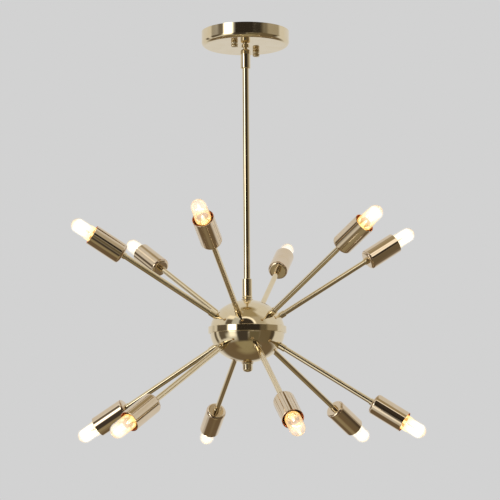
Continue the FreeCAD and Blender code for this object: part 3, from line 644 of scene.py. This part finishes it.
# %% The mount and the leads
mount_outline = [(4.9, 15.2), (3.4, 16.6), (2.4, 19.0), (2.1, 23.0), (1.9, 26.0), (1.2, 27.4), (0.0, 27.8)]
mount_mesh = lathe("lamp_glass_mount", in_mm(mount_outline), around=32)
spread, coil_height = 5.2 * MM, 40.0 * MM
lead_radius, support_radius, coil_wire_radius = 0.22 * MM, 0.12 * MM, 0.12 * MM
wires = bmesh.new()
for sign in (-1, 1):
    lead_path = [Vector((sign * 1.0 * MM, 0, 22.0 * MM)), Vector((sign * 1.1 * MM, 0, 28.0 * MM)),
                 Vector((sign * 2.6 * MM, 0, 33.0 * MM)), Vector((sign * spread, 0, 38.0 * MM)),
                 Vector((sign * spread, 0, coil_height + 0.6 * MM))]
    tube(wires, lead_path, lead_radius)
support_path = [Vector((0, 0.4 * MM, 26.0 * MM)), Vector((0, 1.0 * MM, 33.0 * MM)),
                Vector((0, 1.2 * MM, 41.6 * MM)), Vector((0, 0, 42.4 * MM))]
tube(wires, support_path, support_radius)
wires_mesh = mesh_of("lamp_lead_wires", wires)
print("lead wire faces", len(wires_mesh.polygons))

# %% The filament
steps, turns_in_coil, coil_radius, arch_height = 480, 40, 0.32 * MM, 2.4 * MM
coil = bmesh.new()
coil_path = []
for step in range(steps + 1):
    t = step / steps
    arch = arch_height * (1 - (2 * t - 1) ** 2)
    turn = 2 * math.pi * turns_in_coil * t
    coil_path.append(Vector((spread * (2 * t - 1), coil_radius * math.cos(turn),
                             coil_height + arch + coil_radius * math.sin(turn))))
tube(coil, coil_path, coil_wire_radius, sides=5)
filament_mesh = mesh_of("lamp_filament", coil)
print("filament faces", len(filament_mesh.polygons))

# %% [markdown]
# ### The lamp's finishes
# The envelope is clear soda lime glass with an IOR of 1.52. The wall is so thin that light
# goes nearly straight through, so each face is a mix of clear and mirror that the Fresnel
# law sets. A lit lamp is much brighter than the room and floods the glass with its glow:
# white round the filament, golden at the neck, and weaker towards the outline.

# %% Soda lime glass, lit from inside
neck_glow, rim_glow, full_glow = 0.32, 0.05, 0.24
glow_whitens_from, glow_whitens_to, ripple_mm = 20 * MM, 32 * MM, 9
glass, tree, place = start_material("clear_soda_lime_glass_lit")
height = add_node(tree, "ShaderNodeSeparateXYZ", {0: place}).outputs[2]
share_of_height = remap(tree, height, (0.0, tip_to_top), (0.0, 1.0))
flood = ramp(tree, share_of_height,
             [(0.30, "#D6A044"), (0.42, "#EABF68"), (0.52, "#F6E4B8"), (0.62, "#FFFBF2"),
              (0.86, "#FFFBF6"), (0.94, "#E4DCD4"), (1.0, "#BDB4AC")])
facing = add_node(tree, "ShaderNodeLayerWeight", {"Blend": 0.5}).outputs["Facing"]
outline_glow = remap(tree, height, (glow_whitens_from, glow_whitens_to), (neck_glow, rim_glow))
glow = remap(tree, facing, (0.78, 0.12), (outline_glow, full_glow), interpolation_type="SMOOTHSTEP")
shine = add_node(tree, "ShaderNodeEmission", {"Color": flood, "Strength": glow})
ripple = bump(tree, noise(tree, place, ripple_mm, detail=1.0), strength=0.1, depth_mm=0.1)
through = add_node(tree, "ShaderNodeBsdfTransparent", {"Color": linear("#FDFCFA")})
gloss = add_node(tree, "ShaderNodeBsdfGlossy",
                 {"Color": linear("#FFFFFF"), "Roughness": 0.02, "Normal": ripple})
fresnel = add_node(tree, "ShaderNodeFresnel", {"IOR": 1.52}).outputs[0]
wall_of_glass = add_node(tree, "ShaderNodeMixShader", {0: maths(tree, "MULTIPLY", fresnel, 0.5),
                                                       1: through.outputs[0], 2: gloss.outputs[0]})
lit = add_node(tree, "ShaderNodeAddShader", {0: wall_of_glass.outputs[0], 1: shine.outputs[0]})
end_material(tree, lit.outputs[0])
print(glass.name, "has", len(tree.nodes), "nodes")

# %% [markdown]
# The tungsten glows at about 2700 K, which is the colour of candlelight turned up. The
# leads are nickel iron wire, and the button is black glass that insulates the tip. The
# mount is pressed glass, half clear and half full of the filament's light.

# %% Filament, leads, button and tip
coolest, hottest = 9.0, 14.0
tungsten, tree, place = start_material("glowing_tungsten")
heat = remap(tree, noise(tree, place, size_mm=1.5), NOISE_SPAN, (coolest, hottest))
shader = add_node(tree, "ShaderNodeBsdfPrincipled",
                  {"Base Color": linear("#5A5652"), "Metallic": 1.0, "Roughness": 0.5,
                   "Emission Color": linear("#FFD9A0"), "Emission Strength": heat})
end_material(tree, shader.outputs[0])
lead = small_part("nickel_iron_lead_wire", ("#B9B2A6", "#9E978B"), 1.0, 0.25, 0.4, metallic=1.0)
button = small_part("black_glass_button", ("#15130F", "#1F1B16"), 2.0, 0.12, 0.25, ior=1.52)
solder = small_part("tin_solder_tip", ("#C9C9C6", "#A9A9A4"), 0.8, 0.3, 0.5, metallic=1.0, bump_mm=0.05)
rolled = small_part("rolled_brass_screw_shell", ("#E6C687", "#CFA75F"), 2.0, 0.14, 0.26, metallic=1.0)
mount_glass = small_part("pressed_lead_glass_mount", ("#F4F1EA", "#E8E4DA"), 2.0, 0.02, 0.08, ior=1.56)
mount_inputs = mount_glass.node_tree.nodes["Principled BSDF"].inputs
mount_inputs["Transmission Weight"].default_value = 0.6
mount_inputs["Emission Color"].default_value = linear("#FFD88C")
mount_inputs["Emission Strength"].default_value = 0.8
print("materials in all", len(bpy.data.materials))

# %% [markdown]
# Every lamp stands on its own arm's axis. A matrix that turns Z onto the arm's direction
# and moves the origin to the lamp's tip puts all seven pieces in place. The envelope stands
# for the plain CAD lamp, and every piece rides on the lamp's body, so it draws out with it.
# The filament's glow reaches the brass as a small light instead of as many tiny mirrored
# sparks, so the filament is left out of the reflections.

# %% Screw the lamps in
parts_of_a_lamp = [("envelope", envelope_mesh, glass, "bulb_glass"),
                   ("screw_shell", shell_mesh, rolled, "contact_brass"),
                   ("button", button_mesh, button, "dark_insulator"),
                   ("solder_tip", tip_mesh, solder, "zinc_steel"),
                   ("glass_mount", mount_mesh, mount_glass, "bulb_glass"),
                   ("lead_wires", wires_mesh, lead, "zinc_steel"),
                   ("filament", filament_mesh, tungsten, "zinc_steel")]
for _, mesh, material, _ in parts_of_a_lamp:
    mesh.materials.append(material)

for number in NUMBERS:
    body = f"lamp_{number:02d}"
    base, _ = lamp_base(number)
    stand = Matrix.Translation(base) @ slides[body].to_track_quat("Z", "Y").to_matrix().to_4x4()
    for part, mesh, _, slot in parts_of_a_lamp:
        piece = bpy.data.objects.new(f"{part}_{number:02d}", mesh)
        bpy.context.scene.collection.objects.link(piece)
        piece.matrix_world = stand
        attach(piece, body)
        if part == "filament":
            piece.visible_diffuse = piece.visible_glossy = False
        if part == "envelope":
            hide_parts(f"bulb_{number:02d}")
            piece.visible_shadow = False
print("lamp pieces", len(NUMBERS) * len(parts_of_a_lamp))

# %% [markdown]
# ## The studio
# Polished metal shows the room more than itself, so the room is made for it. The camera
# sees a plain pale grey surround and a pale floor. The brass sees a panorama painted on
# the same surround: a dark room behind the camera for the dark bands, a softbox to the left
# for the white bar, a round panel overhead whose rim draws the thin cream lines, and a warm
# floor below.

# %% The floor
floor_drop, floor_radius = 1.75, 40.0
disc_mesh = bmesh.new()
bmesh.ops.create_circle(disc_mesh, cap_ends=True, segments=96, radius=floor_radius)
floor = bpy.data.objects.new("pale_floor", mesh_of("pale_floor", disc_mesh))
floor.location = (0, 0, hub_centre.z - floor_drop)
bpy.context.scene.collection.objects.link(floor)
pale_paint = small_part("pale_studio_floor", ("#F2F1EE", "#EEEDEA"), 60.0, 0.55, 0.65, ior=1.45)
floor.data.materials.append(pale_paint)
floor.visible_glossy = False
print("the floor lies", floor_drop, "m under the hub")

# %% [markdown]
# Each zone of the panorama has soft edges and is placed by two angles: how far round from
# straight in front, to the right, and how far up. Each is laid over what is already
# painted, as a second coat covers the first. Three functions do it: an edge is a soft step,
# a patch is a rectangle of four edges, and a disc is one edge about a direction.

# %% Edges, patches and discs
world = bpy.data.worlds.new("studio_surround")
bpy.context.scene.world = world
world.use_nodes = True
tree = world.node_tree
tree.nodes.clear()
way = add_node(tree, "ShaderNodeTexCoord").outputs["Generated"]
parts = add_node(tree, "ShaderNodeSeparateXYZ", {0: way})
across = maths(tree, "ARCTAN2", parts.outputs[0], maths(tree, "MULTIPLY", parts.outputs[1], -1.0))
upward = maths(tree, "ARCSINE", parts.outputs[2])


def edge(angle, at_deg, soft_deg, rising):
    """A soft step at an angle: 0 to 1 if it is rising, and 1 to 0 if not."""
    span = math.radians(at_deg - soft_deg), math.radians(at_deg + soft_deg)
    ends = (0.0, 1.0) if rising else (1.0, 0.0)
    return remap(tree, angle, span, ends, interpolation_type="SMOOTHSTEP")


def coat(under, light, mask):
    """Lays a light over the colour that comes in, where the mask is 1.

    Sockets 6 and 7 are the two colours of a mix node.
    """
    over = add_node(tree, "ShaderNodeMix", {0: mask, 6: under, 7: (*light, 1.0)}, data_type="RGBA")
    return over.outputs[2]


def patch(under, light, left, right, bottom, top, soft_sides, soft_ends):
    """A soft rectangle, from left to right and from bottom to top in degrees."""
    mask = edge(across, left, soft_sides, True)
    for step in (edge(across, right, soft_sides, False), edge(upward, bottom, soft_ends, True),
                 edge(upward, top, soft_ends, False)):
        mask = maths(tree, "MULTIPLY", mask, step)
    return coat(under, light, mask)


def disc(under, light, round_deg, up_deg, radius, soft):
    """A soft disc about one direction."""
    turn, rise = math.radians(round_deg), math.radians(up_deg)
    centre = (math.sin(turn) * math.cos(rise), -math.cos(turn) * math.cos(rise), math.sin(rise))
    angle = maths(tree, "ARCCOSINE", vectors(tree, "DOT_PRODUCT", way, centre))
    return coat(under, light, edge(angle, radius, soft, False))


# %% [markdown]
# A row gives a zone's name, its shape, its light in linear red, green and blue, and its
# angles in degrees. A patch has its left, right, bottom and top, the softness of its sides
# and of its ends. A disc has its direction, its radius and its softness.

# %% The panorama that the metal reflects
bare_surround = (0.70, 0.69, 0.67, 1.0)
zones = [("warm floor", patch, (0.16, 0.12, 0.075), -200, 200, -100, -31, 1, 9),
         ("floor below", patch, (0.29, 0.25, 0.16), -200, 200, -100, -72, 1, 10),
         ("floor in front", patch, (0.30, 0.265, 0.17), -52, 40, -100, -44, 12, 7),
         ("ceiling", patch, (0.36, 0.30, 0.19), -200, 200, 74, 100, 1, 6),
         ("ceiling in front", patch, (0.36, 0.30, 0.19), -34, 52, 44, 84, 10, 9),
         ("right wall, upper part", patch, (0.47, 0.43, 0.35), 18, 62, 12, 50, 12, 7),
         ("rim of the overhead panel", disc, (1.25, 1.2, 1.1), -8, 18, 34, 2.5),
         ("dark behind the panel", disc, (0.045, 0.036, 0.028), -8, 18, 27.5, 3),
         ("left panel, top", patch, (1.1, 1.07, 1.0), -80, -36, 38, 50, 8, 3),
         ("left wall, upper part", patch, (0.12, 0.10, 0.08), -76, -50, 12, 37, 5, 4),
         ("left wall", patch, (0.12, 0.10, 0.078), -100, -56, -25, 14, 4, 4),
         ("far left stand", patch, (0.13, 0.11, 0.085), -125, -112, -24, 3, 4, 5),
         ("room behind, at eye level", patch, (0.03, 0.025, 0.02), -36, 47, -2, 16, 4, 2.5),
         ("room behind, left", patch, (0.058, 0.05, 0.042), -36, 4, -45, -1, 5, 6),
         ("room behind, right", patch, (0.14, 0.12, 0.075), 3, 42, -44, -2, 6, 6),
         ("right wall", patch, (0.15, 0.12, 0.076), 38, 93, -44, 6, 5, 4),
         ("right wall, eye level", patch, (0.30, 0.26, 0.19), 56, 100, 2, 15, 5, 3),
         ("door frame at the right", patch, (0.12, 0.10, 0.066), 42, 60, 2, 15, 5, 3),
         ("right wall, dark corner", patch, (0.08, 0.062, 0.045), 78, 92, -27, 0, 5, 5),
         ("softbox spill, upper", patch, (0.53, 0.55, 0.56), -52, -28, 12, 46, 4, 5),
         ("softbox spill, lower", patch, (0.6, 0.6, 0.57), -72, -36, -40, -10, 8, 8),
         ("lit floor at the left", patch, (0.75, 0.74, 0.70), -104, -62, -38, -27, 6, 3),
         ("softbox, lower half", patch, (1.25, 1.25, 1.2), -60, -38, -24, 6, 7, 7),
         ("softbox", patch, (3.2, 3.15, 3.0), -58, -34, -3, 17, 5, 4)]
painted = bare_surround
for _, shape, light, *angles in zones:
    painted = shape(painted, light, *angles)
plain = add_node(tree, "ShaderNodeBackground", {0: linear("#D2D2D2")})
panorama = add_node(tree, "ShaderNodeBackground", {0: painted})
ray = add_node(tree, "ShaderNodeLightPath")
chosen = add_node(tree, "ShaderNodeMixShader",
                  {0: ray.outputs["Is Glossy Ray"], 1: plain.outputs[0], 2: panorama.outputs[0]})
add_node(tree, "ShaderNodeOutputWorld", {0: chosen.outputs[0]})
print("painted zones", len(zones), "nodes", len(tree.nodes))

# %% [markdown]
# A large soft light from the same side as the painted softbox models the floor, the plastic
# and the glass, and a weaker one fills the other side. Both are kept out of the reflections,
# because the painted softbox is there already. A tiny light in each lamp stands for the
# filament's light on what is round it.


# %% The key light and the fill light
def soft_light(name, across_deg, up_deg, distance, width, power):
    """A square light aimed at the hub from a given side."""
    light = bpy.data.lights.new(name, "AREA")
    light.size, light.energy = width, power
    holder = bpy.data.objects.new(name, light)
    side, up = math.radians(across_deg), math.radians(up_deg)
    out = Vector((math.sin(side) * math.cos(up), -math.cos(side) * math.cos(up), math.sin(up)))
    holder.location = hub_centre + distance * out
    holder.rotation_euler = out.to_track_quat("Z", "Y").to_euler()
    holder.visible_camera = False
    holder.visible_glossy = False
    bpy.context.scene.collection.objects.link(holder)


soft_light("key_light", across_deg=-42, up_deg=35, distance=3.0, width=1.6, power=24.0)
soft_light("fill_light", across_deg=60, up_deg=25, distance=3.5, width=2.2, power=10.0)

# %% The light of each filament
filament_watts, filament_light_radius, filament_light_height = 0.03, 3 * MM, 36 * MM
for number in NUMBERS:
    light = bpy.data.lights.new(f"filament_light_{number:02d}", "POINT")
    light.energy, light.shadow_soft_size = filament_watts, filament_light_radius
    light.color = linear("#FFD9A6")[:3]
    holder = bpy.data.objects.new(light.name, light)
    holder.location = (0, 0, filament_light_height)
    holder.parent = bpy.data.objects[f"envelope_{number:02d}"]
    holder.visible_camera = False
    holder.visible_glossy = False
    holder.visible_transmission = False
    bpy.context.scene.collection.objects.link(holder)
print("lights", len(bpy.data.lights))

# %% [markdown]
# ## The camera
# A long lens from 2.7 m away, a little below the hub, looks up by seven degrees. Its
# distance and height are given from the hub, so it follows the CAD if that changes.

# %% The camera
camera_from_hub = Vector((-0.0058, -2.6952, -0.216))
heading, pitch_up, roll = math.radians(-0.22), math.radians(7.03), math.radians(-0.42)
lens = bpy.data.cameras.new("portrait_camera")
lens.sensor_width = 36.0
lens.lens = 136.66
lens.clip_end = 200.0
camera = bpy.data.objects.new("portrait_camera", lens)
camera.matrix_world = (Matrix.Translation(hub_centre + camera_from_hub)
                       @ Matrix.Rotation(heading, 4, "Z") @ Matrix.Rotation(math.pi / 2 + pitch_up, 4, "X")
                       @ Matrix.Rotation(roll, 4, "Z"))
bpy.context.scene.collection.objects.link(camera)
bpy.context.scene.camera = camera
bpy.context.scene.view_settings.view_transform = "Standard"
print("the camera is", round(camera_from_hub.length, 2), "m from the hub")
